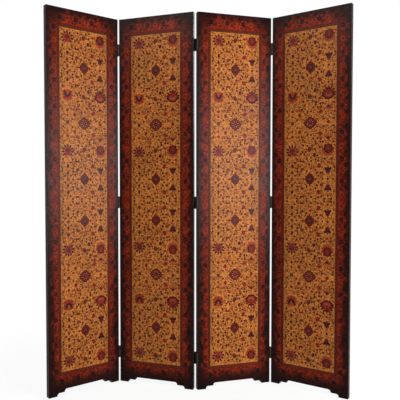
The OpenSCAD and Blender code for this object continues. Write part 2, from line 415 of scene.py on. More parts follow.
# Where the flowers stand between two mirror lines of the field, page millimetres
fieldPlan = {
    "repeat": 262.5,  # between mirror lines
    "middle": 887.0,  # the lower half is the upper one turned over
    "columns": (105.0, 192.0, 278.5),
    "fan": (130.0, 655.0),
    "cup": (394.0,),
    "diamond": (262.5, 787.5),
    "star": (523.0,),
    "darkFlorets": [
        (142, 283), (177, 300), (220, 305), (245, 291), (227, 292), (188, 331), (199, 348), (148, 347),
        (159, 346), (220, 355), (233, 348), (147, 382), (165, 380), (156, 392), (217, 404), (238, 411),
        (159, 422), (180, 419), (203, 420), (152, 459), (207, 453), (228, 451), (241, 436), (253, 435),
        (179, 471), (196, 470), (76, 301), (76, 314), (132, 299), (132, 313), (80, 355), (129, 355),
        (83, 507), (129, 506), (83, 536), (130, 536), (248, 343), (311, 293), (262, 356), (294, 355),
        (71, 334), (120, 279), (91, 279),
    ],
    "redFlorets": [(197, 313), (234, 277), (228, 372), (172, 392), (303, 435), (219, 440), (166, 437),
                   (104, 490), (278.5, 341), (118, 340), (308, 476)],
    "mauveFlorets": [(177, 356), (199, 362), (82, 386), (300, 533), (256, 534), (254, 508), (304, 508),
                     (71, 475), (136, 522), (243, 449)],
    "oliveLeaves": [(164, 487, 60), (225, 493, -50), (232, 366, 10), (149, 312, 40), (176, 297, -35),
                    (264, 492, 20), (293, 492, -20), (244, 361, 70), (141, 402, -60), (170, 408, 30),
                    (255, 322, -70), (301, 322, 70), (90, 345, -40), (120, 366, 35), (235, 392, 35)],
    "redLeaves": [(152, 446, 70), (172, 459, -80), (242, 448, 150), (80, 452, 170), (129, 452, -170),
                  (129, 470, 20), (80, 470, -20), (213, 386, 30), (149, 364, -30), (250, 380, 160),
                  (255, 420, -60), (301, 420, 60), (250, 300, 15), (167, 275, 110), (216, 276, -110)],
    "motifs": [  # shapes, place, turn, size and the room kept round them
        (floret(6, 6.9, "wine", "red"), (105, 291.5), 0, 1.1, 10),
        (darkOval, (105, 324.5), 0, 0.95, 12),
        (tulip, (105, 465), 90, 0.72, 14),
        (tulip, (141, 485), -12, 0.9, 15),
        (bud("plum", "olive", 8), (262.5, 280.5), -140, 1, 9),
        (bud("mauve", "olive", 10), (256.5, 510), 50, 1, 10),
        (bud("plum", "olive", 8), (294.5, 280.5), 140, 1, 9),
        (bud("mauve", "olive", 10), (300.5, 510), -50, 1, 10),
        (skirtedPalmette, (278.5, 304.5), 0, 1.05, 19),
        (spirePalmette, (278.5, 453), 0, 1, 19),
        (splitLeaf("mauve", "slate"), (154, 307), -45, 0.86, 13),
        (spikyLeaf(), (234, 325), 60, 1.05, 17),
        (spikyLeaf("brick", "red"), (243, 475), -40, 1.15, 18),
        (darkOval, (220, 428), 20, 0.7, 10),
    ],
    "room": [  # kept free of loose sprigs: x, y and how far round
        (105, 394, 36), (278.5, 394, 38), (188, 396, 15), (215, 373, 12), (192, 262.5, 29),
        (192, 525, 33), (105, 262.5, 11), (80, 262.5, 8), (130, 262.5, 8), (105, 525, 11),
        (278.5, 262.5, 11), (253.5, 262.5, 8), (303.5, 262.5, 8), (278.5, 525, 11),
    ],
    "vines": [
        [(236, 263), (246, 276), (240, 291), (226, 302), (208, 312), (194, 326), (183, 341), (178, 357),
         (171, 374), (161, 388), (157, 404), (163, 419), (178, 420), (188, 410)],
        [(148, 263), (140, 276), (143, 292), (155, 304), (168, 314), (176, 328), (166, 342), (152, 348),
         (142, 361), (142, 376), (150, 386)],
        [(278, 341), (264, 350), (250, 343), (240, 329), (226, 334), (219, 348), (224, 363), (235, 376),
         (241, 393), (238, 411), (228, 427), (213, 440), (207, 454), (215, 467), (228, 479), (226, 494)],
        [(105, 428), (116, 441), (133, 443), (150, 447), (165, 456), (178, 470), (176, 484), (163, 487)],
        [(278, 442), (262, 438), (247, 445), (240, 459), (243, 474), (254, 486), (264, 493)],
        [(83, 280), (73, 292), (76, 308), (72, 326), (80, 342), (80, 357), (90, 368)],
        [(127, 280), (134, 292), (132, 308), (136, 324), (127, 340), (129, 355), (120, 367)],
        [(303, 300), (311, 312), (304, 328), (296, 342), (294, 355), (300, 368), (310, 378)],
        [(203, 380), (214, 372), (222, 384), (219, 398), (206, 404), (196, 412)],
        [(83, 436), (72, 446), (74, 462), (84, 474), (83, 490), (72, 500), (83, 508)],
        [(170, 500), (158, 508), (146, 500), (140, 486), (146, 470), (142, 456)],
        [(214, 500), (226, 510), (240, 506), (250, 496), (262, 503), (272, 516)],
        [(300, 448), (311, 456), (308, 472), (298, 482), (306, 494), (304, 508)],
    ],
    "vineWidth": 2.6,
    "stemWidth": 2.2,  # of the upright stems under the palmettes
    "leafEvery": 7.5,  # along a vine
    "fillEvery": 9.6,  # loose sprigs in what is left
    "fillJitter": 2.6,
    "fillClear": 8.5,
    "seed": 23,
}


def vineWithLeaves(points, rng):
    line = smooth(points)
    shapes = [(4, "vine", strip(line, fieldPlan["vineWidth"]))]
    travelled, side = 0, 1
    for a, b in zip(line, line[1:]):
        travelled += math.dist(a, b)
        if travelled > fieldPlan["leafEvery"]:
            travelled, side = 0, -side
            along = math.degrees(math.atan2(b[1] - a[1], b[0] - a[0])) + 90
            ink = rng.choice(("olive", "brown", "wine", "brown", "vine"))
            leaf = [(5, ink, petal(rng.uniform(5.6, 8), rng.uniform(2.8, 4.2), 0.4, 2))]
            shapes += placed(leaf, b, along + side * rng.uniform(45, 80))
    return shapes


def looseSprigs(taken, top, bottom, rng):
    # small leaves and dots wherever nothing else stands
    left, right = border["field"][0], border["field"][2]
    step, jitter = fieldPlan["fillEvery"], fieldPlan["fillJitter"]
    tendril = [(4, "vine", strip([(0, 6), (3.4, 3), (3, -2), (-0.6, -4.4), (-4, -3)], 2.3))]
    shapes = []
    for row in range(int((bottom - top) / step) + 1):
        for column in range(int((right - left) / step)):
            x = left + 5 + (column + 0.5 * (row % 2)) * step + rng.uniform(-jitter, jitter)
            y = top + 3 + row * step + rng.uniform(-jitter, jitter)
            if x > right - 5 or y > bottom - 3:
                continue
            if any(math.dist((x, y), spot[:2]) < spot[2] for spot in taken):
                continue
            kind = rng.random()
            ink = rng.choice(("olive", "brown", "wine", "red", "vine"))
            if kind < 0.3:
                shapes += placed([(5, ink, petal(9.5, 5, -4.6, 1))], (x, y), rng.uniform(0, 360))
            elif kind < 0.5:
                shapes += placed(tendril, (x, y), rng.uniform(0, 360))
            elif kind < 0.75:
                shapes += placed([(5, ink, petal(6.6, 3.6, 0.4, 1))], (x, y), rng.uniform(0, 180))
                shapes += placed([(5, ink, petal(6, 3.4, 0.4, 1))], (x, y), rng.uniform(180, 360))
            else:
                dot = [(5, ink, lobed(4.2, 4.2, 4, 0.4, steps=2))]
                shapes += placed(dot, (x, y), rng.uniform(0, 90))
    return shapes


def besideDiamond(y):
    # small flowers to the left and right of a diamond rosette
    leftX, middleX, rightX = fieldPlan["columns"]
    shapes = placed(floret(8, 9, "mauve", "smoke"), (leftX, y))
    shapes += placed(floret(6, 6.8, "wine", "red"), (rightX, y))
    for way in (-1, 1):
        shapes += placed(floret(5, 5.2, "wine", "mauve"), (leftX + way * 25, y))
        shapes += placed(floret(5, 5.2, "plum", "mauve"), (rightX + way * 25, y))
    return shapes


def besideStar(y):
    leftX, middleX, rightX = fieldPlan["columns"]
    shapes = placed(floret(8, 9.4, "slate", "smoke"), (leftX, y))
    return shapes + placed(floret(8, 9.2, "red", "mauve"), (rightX, y))


def fieldUnit(rng):
    # what stands between the mirror lines at one and two repeats
    low, high = fieldPlan["repeat"], 2 * fieldPlan["repeat"]
    leftX, middleX, rightX = fieldPlan["columns"]
    stem = fieldPlan["stemWidth"]
    shapes, taken = [], list(fieldPlan["room"])

    def add(motif, at, turn=0, size=1, clear=fieldPlan["fillClear"]):
        shapes.extend(placed(motif, at, turn, size))
        taken.append((*at, clear))

    for line in fieldPlan["vines"]:
        shapes.extend(vineWithLeaves(line, rng))
    for k, at in enumerate(fieldPlan["darkFlorets"]):
        petals, radius = ((5, 6.2), (4, 6.5), (6, 5.9))[k % 3]
        ink = ("wine", "brown", "plum", "wine")[k % 4]
        add(floret(petals, radius, ink, ("orange", "red", "brick")[k % 3]), at, 25 * k)
    for k, at in enumerate(fieldPlan["redFlorets"]):
        add(floret(5, 6.4, "red", "wine"), at, 31 * k)
    for k, at in enumerate(fieldPlan["mauveFlorets"]):
        add(floret(6, 6.6, "mauve", "plum"), at, 17 * k)
    for x, y, turn in fieldPlan["oliveLeaves"]:
        add(curvedLeaf("olive", 14, 6.4), (x, y), turn)
    for x, y, turn in fieldPlan["redLeaves"]:
        add(curvedLeaf("red", 16, 7), (x, y), turn)
    for x in (leftX, rightX):
        shapes.extend(placed([(4, "vine", strip([(0, 8), (0.8, 50), (-0.6, 94)], stem))], (x, low)))
        shapes.extend(placed([(4, "vine", strip([(0, -84), (0.6, -40), (0, -8)], stem))], (x, high)))
    for motif in fieldPlan["motifs"]:
        add(*motif)
    shapes.extend(looseSprigs(taken, low, high, rng))
    return shapes


def within(shapes, left, top, right, bottom):
    # drops what would cross the edge of its place
    return [
        shape for shape in shapes
        if all(left < x < right and top < y < bottom for x, y in shape[2])
    ]


def spaced(shapes, spots):
    # drops small things that would lie under the big flowers
    kept = []
    for layer, ink, points in shapes:
        x = sum(p[0] for p in points) / len(points)
        y = sum(p[1] for p in points) / len(points)
        if not any(math.dist((x, y), (a, b)) < clear for a, b, clear in spots):
            kept.append((layer, ink, points))
    return kept


def drawField():
    step, middle = fieldPlan["repeat"], fieldPlan["middle"]
    leftX, middleX, rightX = fieldPlan["columns"]
    left, top, right, bottom = border["field"]
    unit = fieldUnit(random.Random(fieldPlan["seed"]))
    upper = [
        *within(unit, left, step, right, 2 * step),
        *within(mirrored(unit, down=step), left, top, right, step),
        *within(mirrored(unit, down=2 * step), left, 2 * step, right, 3 * step),
        *within(placed(unit, (0, 2 * step)), left, 3 * step, right, middle),
    ]
    leaf, leafX, leafTurn, leafSize = splitLeaf(), 189, 18, 1.12
    big, spots = [], []
    for y in fieldPlan["fan"]:
        big += placed(fanPalmette, (leftX, y), 0, 1.2) + placed(ringPalmette, (rightX, y - 1), 0, 1.12)
        big += placed(leaf, (leafX, y - 6), leafTurn, leafSize) + placed(darkOval, (214, y + 20))
        spots += [(leftX, y, 29), (rightX, y, 29), (leafX, y - 6, 13), (214, y + 20, 10)]
    for y in fieldPlan["cup"]:
        big += placed(cupPalmette, (leftX, y + 2)) + placed(lobedPalmette, (rightX, y))
        big += mirrored(placed(leaf, (leafX, y + 4), leafTurn, leafSize), down=y + 4)
        big += placed(darkOval, (215, y - 22))
        spots += [(leftX, y, 29), (rightX, y, 32), (leafX, y + 4, 13), (215, y - 22, 10)]
    for y in fieldPlan["diamond"]:
        big += placed(diamondRosette, (middleX, y)) + besideDiamond(y)
        spots.append((middleX, y, 27))
    for y in fieldPlan["star"]:
        big += placed(starRosette, (middleX, y)) + besideStar(y)
        spots.append((middleX, y, 32))
    for way in (-1, 1):  # thin barred stems where the two halves meet
        for k in range(3):
            big.append((6, "plum", oval(1.1, 3.6, (rightX + way * (8 + 6 * k), middle - 4), 6)))
    half = spaced(upper, spots) + big
    return within(half + mirrored(half, down=middle), left, top, right, bottom)


# Border round the field
border = {
    "field": (65.0, 88.0, 315.0, 1690.0),  # left, top, right, bottom
    "guard": (55.0, 74.0, 325.0, 1703.0),
    "line": 1.6,  # dark line on both sides of the guard
    "flowerX": 38.0,
    "flowerY": (92, 152, 213, 273, 333, 394, 455, 515, 575, 636, 697, 737, 798, 860),
    "outerX": 20.0,
    "endY": (44.0, 1735.0),
    "endX": (67, 108, 150, 190, 232, 272, 314),
    "margin": 4,  # nothing nearer to the edge of the page
    "corner": 30,  # nor nearer to its corners, along the ends
    "wave": (30, 7, 6, 1.8),  # step, swing, shift and width of the stem behind the flowers
    "markEvery": 8.0,
    "patchEvery": 11.0,  # loose leaves over the ground
    "patchInks": ("borderLight", "borderLight", "borderDark", "orange", "wine", "borderDark"),
    "seed": 5,
}

borderFlower = [
    *fan(4, "borderLight", 2, 180, 17, 9, 4, 0),
    (5, "borderDark", lobed(11.5, 11.5, 8, 0.16)),
    *fan(6, "navy", 8, 315, 9, 5, 1.5),
    (7, "mauve", oval(3.4, 3.4, count=8)),
    (8, "navy", oval(1.6, 1.6, count=5)),
]

borderLeaf = [
    (4, "borderLight", lobed(12, 15, 7, 0.2, 1.5)),
    (5, "border", petal(20, 7, -9)),
    *bothSides([(6, "borderDark", petal(10, 4))], (0, 6), 35),
    (6, "orange", petal(9, 3.2, -3)),
]

borderBlob = [
    (4, "borderDark", lobed(8, 10, 6, 0.2)),
    (5, "navy", lobed(5, 6.6, 5, 0.2)),
    *placed([(4, "borderDark", petal(10, 3.4))], (0, 6), 150),
    *placed([(4, "borderDark", petal(10, 3.4))], (0, -6), 30),
]


def borderPatches(low, high, rng):
    # leaves in lighter and darker reds, loosely strewn
    step = border["patchEvery"]
    shapes = []
    for row in range(int((high[1] - low[1]) / step)):
        for column in range(int((high[0] - low[0]) / step)):
            x = low[0] + (column + rng.uniform(0.2, 0.8)) * step
            y = low[1] + (row + rng.uniform(0.2, 0.8)) * step
            ink = rng.choice(border["patchInks"])
            length = rng.uniform(8, 14)
            leaf = [(2, ink, petal(length, length * rng.uniform(0.38, 0.6), -length / 2, 2))]
            shapes += placed(leaf, (x, y), rng.uniform(0, 360))
    return shapes


def drawBorder():
    rng = random.Random(border["seed"])
    left, top, right, bottom = border["guard"]
    middle, flowers = fieldPlan["middle"], border["flowerY"]
    margin, corner = border["margin"], border["corner"]
    step, swing, shift, width = border["wave"]
    quarter = []
    for k, y in enumerate(flowers):
        motif = borderLeaf if k % 2 else borderFlower
        quarter += placed(motif, (border["flowerX"], y), 0 if k % 4 else 180, rng.uniform(0.92, 1.05))
        blob = (border["outerX"], y + step)
        quarter += placed(borderBlob, blob, rng.uniform(-15, 15), rng.uniform(0.85, 1.1))
    wave = [
        (border["flowerX"] + swing * (-1) ** k - shift, flowers[0] + step * k)
        for k in range(int((middle - flowers[0]) / step) + 1)
    ]
    quarter.append((3, "borderDark", strip(smooth(wave), width)))
    quarter += borderPatches((margin + 2, top), (left - 3, middle), rng)
    sides = within(quarter, margin, top - 4, left - 1, middle)
    sides += mirrored(sides, down=middle)
    sides += mirrored(sides, across=pageWidth / 2)
    ends = []
    for y, way in zip(border["endY"], (0, 180)):
        for k, x in enumerate(border["endX"]):
            motif = borderLeaf if k % 2 else borderFlower
            ends += placed(motif, (x, y), way + 90 * (k % 2), 1.05)
            if way == 0:
                ends += placed(borderBlob, (x + 22, y - 24), 90, 1.15)
    archTop = min(y for x, y in pageOutline() if y > pageHeight / 2)
    for low, high in ((margin, top - 3), (bottom + 3, archTop - margin)):
        ends += borderPatches((corner, low), (pageWidth - corner, high), rng)
    above = within(ends, corner, margin, pageWidth - corner, top)
    return sides + above + within(ends, corner, bottom, pageWidth - corner, archTop - margin)


def frameRect(edges, grow=0):
    left, top, right, bottom = edges
    return [(left - grow, top - grow), (right + grow, top - grow),
            (right + grow, bottom + grow), (left - grow, bottom + grow)]


def guardMark(at, upright, k):
    # a lozenge between two pale dots
    shapes = [(2, ("brick", "plum")[k % 2], petal(5, 3.6, -2.5, 1))]
    shapes += [(2, "guardLight", oval(1.1, 1.1, (way * 3.6, 3.8), 4)) for way in (-1, 1)]
    return placed(shapes, at, 90 * (1 - upright))


def drawGuard():
    # two dark lines with small marks between them
    line, guard, field = border["line"], border["guard"], border["field"]
    shapes = [
        (1, "borderDark", frameRect(guard, line)),
        (1, "guard", frameRect(guard)),
        (1, "borderDark", frameRect(field, line)),
        (1, "ground", frameRect(field)),
    ]
    middleX = (guard[0] + field[0]) / 2
    count = int((field[3] - field[1]) / border["markEvery"])
    for k in range(count):
        y = field[1] + (k + 0.5) * (field[3] - field[1]) / count
        mark = guardMark((middleX, y), 1, k)
        shapes += mark + mirrored(mark, across=pageWidth / 2)
    count = int((field[2] - field[0]) / border["markEvery"])
    for k in range(count):
        x = field[0] + (k + 0.5) * (field[2] - field[0]) / count
        for y in ((guard[1] + field[1]) / 2, (guard[3] + field[3]) / 2):
            shapes += guardMark((x, y), 0, k)
    return shapes


# One cut of the whole page, shared by the eight covers
rollEdge = {"reach": 0.9, "drop": 0.45, "rows": 4}  # how the leather turns over the rim, mm


def linear(level):
    level = level / 255
    return level / 12.92 if level <= 0.04045 else ((level + 0.055) / 1.055) ** 2.4


def ink(r, g, b):
    return (linear(r), linear(g), linear(b), 1.0)


def cutUp(points, faces):
    # triangles that share their corners wherever outlines cross
    return delaunay_2d_cdt([Vector(p) for p in points], [], faces, 1, 1e-4, True)


def cutPage():
    rim = leftHanded(pageOutline())
    flat = inset(rim, rollEdge["reach"])
    shapes = drawGuard() + drawBorder() + drawField()
    shapes.sort(key=lambda shape: shape[0])
    shapes.insert(0, (0, "border", flat))
    points, faces = [], []
    for layer, name, outline in shapes:
        faces.append(list(range(len(points), len(points) + len(outline))))
        points += leftHanded(outline)
    places, edges, triangles, origins, edgeOrigins, coverings = cutUp(points, faces)
    inside = [k for k, covering in enumerate(coverings) if covering]
    where = {i: k for k, group in enumerate(origins) for i in group}
    rng = random.Random(fieldPlan["seed"])
    tones = [rng.uniform(0.9, 1.1) for shape in shapes]
    colors = []
    for k in inside:
        top = max(coverings[k])
        colors.append([level * tones[top] for level in ink(*inks[shapes[top][1]])[:3]] + [1.0])
    print("print cut:", len(shapes), "shapes,", len(inside), "triangles")
    return {
        "rim": rim,
        "flat": [where[k] for k in range(len(flat))],
        "places": [tuple(p) for p in places],
        "triangles": [triangles[k] for k in inside],
        "colors": colors,
        "cutArea": area(rim) / mm ** 2,
    }


page = cutPage()


def makeCover(number, side):
    # printed face, rolled rim, straight edge and the flat side that is glued down
    pose = poses[number][0]
    way = 1 if side == "front" else -1
    rows, rim = rollEdge["rows"], page["rim"]
    spots = [(x, y, 0.0) for x, y in page["places"]]  # page x, page y, depth below the face
    rings = [page["flat"]]
    for row in range(1, rows + 2):
        angle = math.pi / 2 * row / rows
        back, sunk = rollEdge["reach"] * (1 - math.sin(angle)), rollEdge["drop"] * (1 - math.cos(angle))
        outline = inset(rim, back) if row < rows else rim
        if row > rows:
            sunk = (coverFace - coverBack) * mm
        rings.append(list(range(len(spots), len(spots) + len(rim))))
        spots += [(x, y, sunk) for x, y in outline]
    faces = [tuple(t) for t in page["triangles"]]
    colors = list(page["colors"])
    rimColor = list(ink(*inks["borderDark"]))
    for outer, inner in zip(rings[1:], rings):
        for k in range(len(outer)):
            n = (k + 1) % len(outer)
            faces.append((outer[k], outer[n], inner[n], inner[k]))
            colors.append(rimColor)
    glued = cutUp(rim, [list(range(len(rim)))])
    spotOf = {k: rings[-1][group[0]] for k, group in enumerate(glued[3])}
    for triangle, covering in zip(glued[2], glued[5]):
        if covering:
            faces.append(tuple(spotOf[k] for k in reversed(triangle)))
            colors.append(rimColor)
    places = [
        pose @ Vector((way * (x - pageWidth / 2) / mm, way * (sunk / mm - coverFace),
                       (pageHeight - y) / mm))
        for x, y, sunk in spots
    ]
    faces = [tuple(reversed(face)) for face in faces]  # page y runs down, so the face turns over
    mesh = bpy.data.meshes.new(f"{side}_leather_{number}")
    mesh.from_pydata(places, [], faces)
    mesh.uv_layers.new(name="page")
    mesh.color_attributes.new("print", "FLOAT_COLOR", "CORNER")
    uvValues, paintValues = [], []
    for polygon, color in zip(mesh.polygons, colors):
        for index in polygon.vertices:
            x, y, sunk = spots[index]
            uvValues += (x / mm, (pageHeight - y) / mm)
            paintValues += color
    mesh.uv_layers["page"].data.foreach_set("uv", uvValues)
    mesh.color_attributes["print"].data.foreach_set("color", paintValues)
    first = len(page["triangles"])
    for polygon in mesh.polygons[first:first + rows * len(rim)]:  # the roll is smooth, the rest flat
        polygon.use_smooth = True
    mesh.validate()
    cover = bpy.data.objects.new(f"{side}_leather_{number}", mesh)
    bpy.context.scene.collection.objects.link(cover)
    return cover


# Shader building blocks
def newNode(tree, kind, settings=None, inputs=None):
    made = tree.nodes.new(kind)
    for name, value in (settings or {}).items():
        setattr(made, name, value)
    for name, value in (inputs or {}).items():
        if isinstance(value, bpy.types.NodeSocket):
            tree.links.new(value, made.inputs[name])
        else:
            made.inputs[name].default_value = value
    return made


def firstOutput(tree, kind, settings=None, inputs=None):
    return newNode(tree, kind, settings, inputs).outputs[0]


def calc(tree, operation, a, b=0.0):
    return firstOutput(tree, "ShaderNodeMath", {"operation": operation}, {0: a, 1: b})


def vectorOf(tree, **parts):
    return firstOutput(tree, "ShaderNodeCombineXYZ", None, parts)


def partsOf(tree, vector):
    return newNode(tree, "ShaderNodeSeparateXYZ", None, {0: vector}).outputs


def lengthOf(tree, vector):
    return newNode(tree, "ShaderNodeVectorMath", {"operation": "LENGTH"}, {0: vector}).outputs["Value"]


def plus(tree, a, b):
    return calc(tree, "ADD", a, b)


def minus(tree, a, b):
    return calc(tree, "SUBTRACT", a, b)


def times(tree, a, b):
    return calc(tree, "MULTIPLY", a, b)


def ranged(tree, value, low, high, toLow=0.0, toHigh=1.0):
    inputs = {"Value": value, "From Min": low, "From Max": high, "To Min": toLow, "To Max": toHigh}
    made = newNode(tree, "ShaderNodeMapRange", {"interpolation_type": "SMOOTHSTEP"}, inputs)
    return made.outputs["Result"]


def mixed(tree, factor, a, b, blend="MIX"):
    settings = {"data_type": "RGBA", "blend_type": blend}
    return newNode(tree, "ShaderNodeMix", settings, {0: factor, 6: a, 7: b}).outputs[2]


def toned(tree, color, tone):
    gray = firstOutput(tree, "ShaderNodeCombineColor", None, {0: tone, 1: tone, 2: tone})
    return mixed(tree, 1.0, color, gray, "MULTIPLY")


def noise(tree, vector, scale, detail, rough=0.55, distortion=0.0):
    inputs = {"Vector": vector, "Scale": scale, "Detail": detail}
    inputs |= {"Roughness": rough, "Distortion": distortion}
    return newNode(tree, "ShaderNodeTexNoise", None, inputs).outputs["Fac"]


def patches(tree, vector, look):
    # a noise's scale, detail, roughness and distortion, then its two ends and the values at them
    texture, cut = look
    return ranged(tree, noise(tree, vector, *texture), *cut)


def mapped(tree, vector, **how):
    return firstOutput(tree, "ShaderNodeMapping", None, {"Vector": vector, **how})


def newGroup(name, inputs, outputs):
    tree = bpy.data.node_groups.new(name, "ShaderNodeTree")
    tree.interface.new_socket("Vector", in_out="INPUT", socket_type="NodeSocketVector")
    for label, value in inputs.items():
        socket = tree.interface.new_socket(label, in_out="INPUT", socket_type="NodeSocketFloat")
        socket.default_value = value
    for label in outputs:
        tree.interface.new_socket(label, in_out="OUTPUT", socket_type="NodeSocketFloat")
    return tree, tree.nodes.new("NodeGroupInput").outputs, tree.nodes.new("NodeGroupOutput").inputs


groupLook = {
    # leather grain
    "bend": (90.0, 2.0), "bendReach": 0.0016,  # bends the pebbles
    "seam": 0.22, "creaseSeam": 0.07,  # widths
    "creaseScale": 0.21, "pores": (2600.0, 2.0), "pebbleHeight": 0.62, "poreHeight": 0.2,
    # rubbed tone
    "broad": (5.0, 0.6, 0.4), "broadShare": 0.65, "contrast": 4.0,
    "fine": (4.0, 0.65), "fineScale": 14.0,
    # rubbed rim and painted shade round the page
    "corner": 0.03, "rag": (24.0, 8.0, 0.72, 0.7), "ragRim": 2.0, "ragCorner": 3.0,
    # rubbed arris
    "arris": 0.07, "breaks": (5.0, 0.7), "breakCut": (0.42, 0.6),
    # wood grain
    "stretch": 0.06, "ringBend": (14.0, 3.0), "bendRing": 0.035, "fibre": (900.0, 3.0),
    "fullTurn": 6.283,
}


def grainGroup():
    # pebbles of pressed leather with finer pores, as a height
    values = {"Pebbles": 620.0, "Creases": 0.35}
    tree, given, out = newGroup("leatherGrain", values, ["Height", "Valley"])
    scale, detail = groupLook["bend"]
    inputs = {"Vector": given["Vector"], "Scale": scale, "Detail": detail}
    warp = newNode(tree, "ShaderNodeTexNoise", None, inputs).outputs["Color"]
    inputs = {0: warp, "Scale": groupLook["bendReach"]}
    shift = firstOutput(tree, "ShaderNodeVectorMath", {"operation": "SCALE"}, inputs)
    inputs = {0: given["Vector"], 1: shift}
    bent = firstOutput(tree, "ShaderNodeVectorMath", {"operation": "ADD"}, inputs)

    def seams(size, width):
        inputs = {"Vector": bent, "Scale": size}
        cells = newNode(tree, "ShaderNodeTexVoronoi", {"feature": "DISTANCE_TO_EDGE"}, inputs)
        return ranged(tree, cells.outputs["Distance"], 0.0, width)

    pebble = seams(given["Pebbles"], groupLook["seam"])
    crease = seams(times(tree, given["Pebbles"], groupLook["creaseScale"]), groupLook["creaseSeam"])
    pores = times(tree, noise(tree, bent, *groupLook["pores"]), groupLook["poreHeight"])
    high = plus(tree, times(tree, pebble, groupLook["pebbleHeight"]), pores)
    tree.links.new(plus(tree, high, times(tree, crease, given["Creases"])), out["Height"])
    tree.links.new(minus(tree, 1.0, times(tree, pebble, crease)), out["Valley"])
    return tree


def toneGroup():
    # cloudy hand-rubbed tone round 1
    tree, given, out = newGroup("rubbedTone", {"Scale": 6.0, "Contrast": 0.3}, ["Tone"])
    share = groupLook["broadShare"]
    broad = noise(tree, given["Vector"], given["Scale"], *groupLook["broad"])
    fineScale = times(tree, given["Scale"], groupLook["fineScale"])
    fine = noise(tree, given["Vector"], fineScale, *groupLook["fine"])
    both = plus(tree, times(tree, broad, share), times(tree, fine, 1 - share))
    spread = times(tree, minus(tree, both, 0.5), times(tree, given["Contrast"], groupLook["contrast"]))
    tree.links.new(plus(tree, spread, 1.0), out["Tone"])
    return tree


def rimWearAndShadeGroup():
    # 1 well inside the page, falling ragged to 0 at its rim, for the rubbed-dark rim and the painted
    # shade round the page; Vector is metres from its lower left corner
    tree, given, out = newGroup(
        "rimWearAndShade", {"Width": pageWidth / mm, "Height": pageHeight / mm, "Reach": 0.03, "Ragged": 0.5},
        ["Inside", "Distance", "Corner"])
    place = partsOf(tree, given["Vector"])
    side = calc(tree, "MINIMUM", place["X"], minus(tree, given["Width"], place["X"]))
    end = calc(tree, "MINIMUM", place["Y"], minus(tree, given["Height"], place["Y"]))
    inputs = {0: side, 1: end, 2: groupLook["corner"]}
    nearest = firstOutput(tree, "ShaderNodeMath", {"operation": "SMOOTH_MIN"}, inputs)
    cloud = minus(tree, noise(tree, given["Vector"], *groupLook["rag"]), 0.5)
    ragged = times(tree, times(tree, cloud, given["Ragged"]), given["Reach"])
    moved = plus(tree, nearest, times(tree, ragged, groupLook["ragRim"]))
    tree.links.new(ranged(tree, moved, 0.0, given["Reach"]), out["Inside"])
    tree.links.new(nearest, out["Distance"])
    apart = lengthOf(tree, vectorOf(tree, X=side, Y=end))
    tree.links.new(plus(tree, apart, times(tree, ragged, groupLook["ragCorner"])), out["Corner"])
    return tree


def wearGroup():
    # rubbed arrises, with breaks
    tree, given, out = newGroup("rubbedArris", {"Edge": 0.52, "Scale": 140.0}, ["Worn"])
    sharp = newNode(tree, "ShaderNodeNewGeometry").outputs["Pointiness"]
    band = ranged(tree, sharp, given["Edge"], plus(tree, given["Edge"], groupLook["arris"]))
    cloud = noise(tree, given["Vector"], given["Scale"], *groupLook["breaks"])
    tree.links.new(times(tree, band, ranged(tree, cloud, *groupLook["breakCut"])), out["Worn"])
    return tree


def woodGroup():
    # growth rings cut along the length, which runs along Z of the given vector
    tree, given, out = newGroup("woodGrain", {"Rings": 90.0}, ["Ring", "Fibre"])
    longer = mapped(tree, given["Vector"], Scale=(1.0, 1.0, groupLook["stretch"]))
    bend = noise(tree, longer, *groupLook["ringBend"], 0.5)
    across = plus(tree, partsOf(tree, longer)["X"], times(tree, bend, groupLook["bendRing"]))
    wave = calc(tree, "SINE", times(tree, across, times(tree, given["Rings"], groupLook["fullTurn"])))
    tree.links.new(ranged(tree, wave, -1.0, 1.0), out["Ring"])
    tree.links.new(noise(tree, longer, *groupLook["fibre"]), out["Fibre"])
    return tree


groups = {
    "grain": grainGroup(), "tone": toneGroup(), "rimWearAndShade": rimWearAndShadeGroup(), "wear": wearGroup(),
    "wood": woodGroup(),
}
print("shader groups built")


def placeGroup(tree, name, vector, **values):
    inputs = {"Vector": vector, **values}
    return newNode(tree, "ShaderNodeGroup", {"node_tree": groups[name]}, inputs).outputs


def newMaterial(name):
    material = bpy.data.materials.new(name)
    material.use_nodes = True
    tree = material.node_tree
    return material, tree, tree.nodes.new("ShaderNodeTexCoord").outputs["Object"]


def dress(material, color, rough, height, strength, depth):
    # what changes over the surface goes to the shader
    tree = material.node_tree
    shader = tree.nodes["Principled BSDF"]
    relief = {"Height": height, "Strength": strength, "Distance": depth}
    tree.links.new(color, shader.inputs["Base Color"])
    tree.links.new(rough, shader.inputs["Roughness"])
    tree.links.new(firstOutput(tree, "ShaderNodeBump", None, relief), shader.inputs["Normal"])
    return shader.inputs


